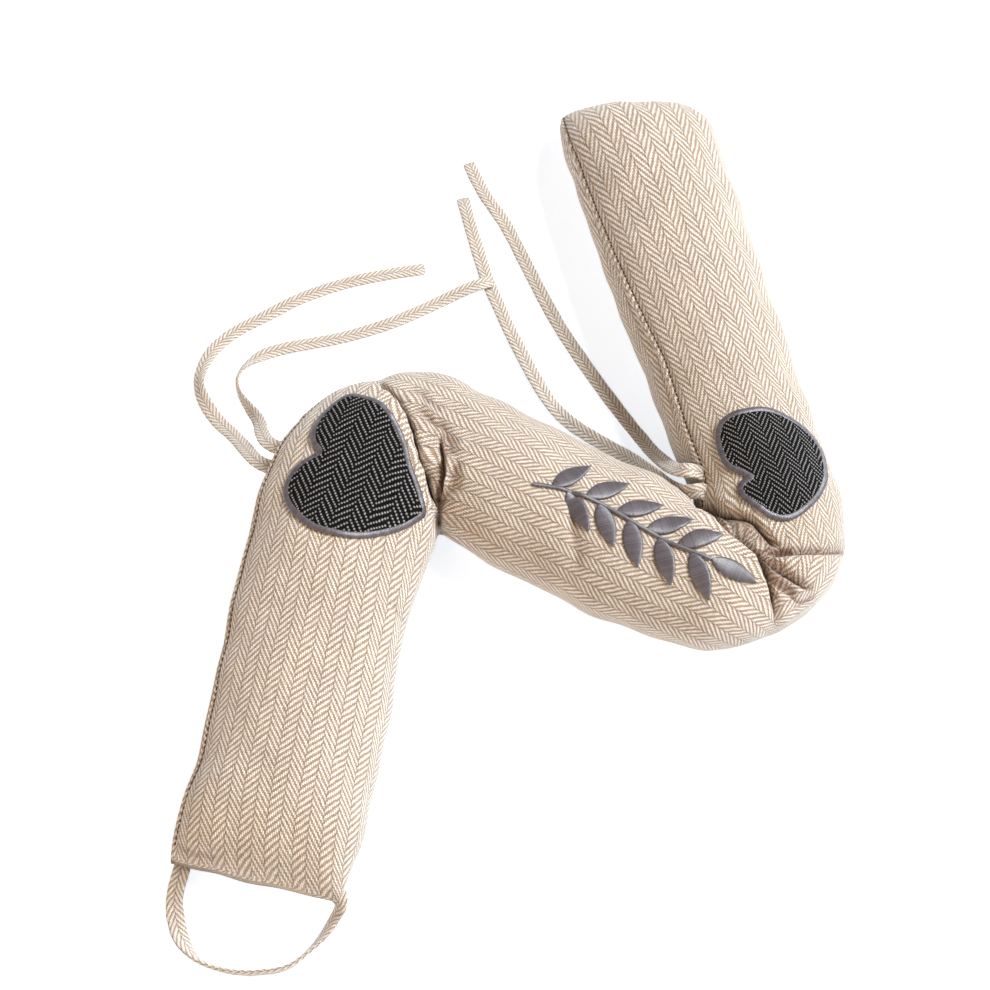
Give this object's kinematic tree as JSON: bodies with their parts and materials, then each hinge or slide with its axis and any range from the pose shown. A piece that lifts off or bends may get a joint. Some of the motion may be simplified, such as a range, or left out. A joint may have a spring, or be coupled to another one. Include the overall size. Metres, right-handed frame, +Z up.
{
  "type": "draught excluder",
  "caption": "Filled tube of cream and tan herringbone cloth, lying bent in a Z, with dark heart patches, a sewn grey sprig, flat ties at its seam and a hanging loop at its end.",
  "frame": {"origin": "on the floor below the middle of the bent tube and its loop", "axes": "+Z up, -Y toward the end with the hanging loop, +X to the right of a viewer there"},
  "size_m": [0.3904, 0.5692, 0.0635],
  "materials": {
    "herringbone_cloth": "cream and tan herringbone cotton",
    "dark_herringbone_cloth": "black and grey herringbone cotton",
    "grey_thread": "satin-stitched grey embroidery thread"
  },
  "bodies": {
    "root": {"body": "herringbone_cloth", "heart_patch_1": "dark_herringbone_cloth", "heart_patch_2": "dark_herringbone_cloth", "sewn_sprig": "grey_thread", "tie_1_left": "herringbone_cloth", "tie_1_right": "herringbone_cloth", "tie_2_left": "herringbone_cloth", "tie_2_right": "herringbone_cloth", "hanging_loop": "herringbone_cloth"}
  },
  "joints": []
}
